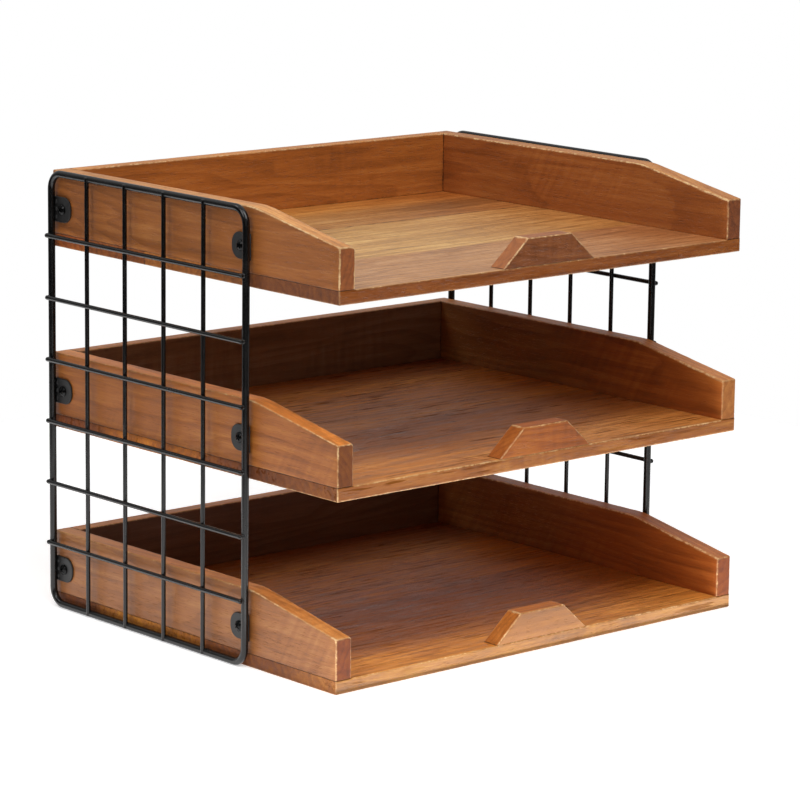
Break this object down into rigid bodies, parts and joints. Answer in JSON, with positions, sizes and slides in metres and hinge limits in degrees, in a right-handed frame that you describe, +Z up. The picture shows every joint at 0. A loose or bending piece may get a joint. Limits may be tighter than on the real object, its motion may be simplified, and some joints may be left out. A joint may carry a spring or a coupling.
{
  "type": "desk organizer",
  "caption": "Tiered desk organizer: open wooden paper trays with a sloped side wall and a low front stop, screwed between welded wire grid side frames.",
  "frame": {"origin": "centre of the footprint, on the surface that the organizer stands on", "axes": "+X to the right as seen from the open front, +Y to the back, +Z up; the trays' open front faces -Y"},
  "size_m": [0.3468, 0.276, 0.279],
  "materials": {
    "tray_base": "stained and oiled, sanded through along the edges",
    "tray_wall": "stained and oiled, sanded through along the edges",
    "front_stop": "stained and oiled, sanded through along the edges",
    "frame_black": "satin black powder coat",
    "screw_black": "black oxide",
    "brad_steel": "plain"
  },
  "bodies": {
    "root": {"upper_base": "tray_base", "upper_left_wall": "tray_wall", "upper_right_wall": "tray_wall", "upper_back_wall": "tray_wall", "upper_front_stop": "front_stop", "upper_brads": "brad_steel", "middle_base": "tray_base", "middle_left_wall": "tray_wall", "middle_right_wall": "tray_wall", "middle_back_wall": "tray_wall", "middle_front_stop": "front_stop", "middle_brads": "brad_steel", "lower_base": "tray_base", "lower_left_wall": "tray_wall", "lower_right_wall": "tray_wall", "lower_back_wall": "tray_wall", "lower_front_stop": "front_stop", "lower_brads": "brad_steel", "left_rim": "frame_black", "right_rim": "frame_black", "left_upright_1": "frame_black", "left_upright_2": "frame_black", "left_upright_3": "frame_black", "left_upright_4": "frame_black", "right_upright_1": "frame_black", "right_upright_2": "frame_black", "right_upright_3": "frame_black", "right_upright_4": "frame_black", "left_cross_wire_1": "frame_black", "left_cross_wire_2": "frame_black", "left_cross_wire_3": "frame_black", "left_cross_wire_4": "frame_black", "left_cross_wire_5": "frame_black", "left_cross_wire_6": "frame_black", "right_cross_wire_1": "frame_black", "right_cross_wire_2": "frame_black", "right_cross_wire_3": "frame_black", "right_cross_wire_4": "frame_black", "right_cross_wire_5": "frame_black", "right_cross_wire_6": "frame_black", "left_upper_front_tab": "frame_black", "left_upper_back_tab": "frame_black", "left_middle_front_tab": "frame_black", "left_middle_back_tab": "frame_black", "left_lower_front_tab": "frame_black", "left_lower_back_tab": "frame_black", "right_upper_front_tab": "frame_black", "right_upper_back_tab": "frame_black", "right_middle_front_tab": "frame_black", "right_middle_back_tab": "frame_black", "right_lower_front_tab": "frame_black", "right_lower_back_tab": "frame_black", "left_screws": "screw_black", "right_screws": "screw_black"}
  },
  "joints": []
}
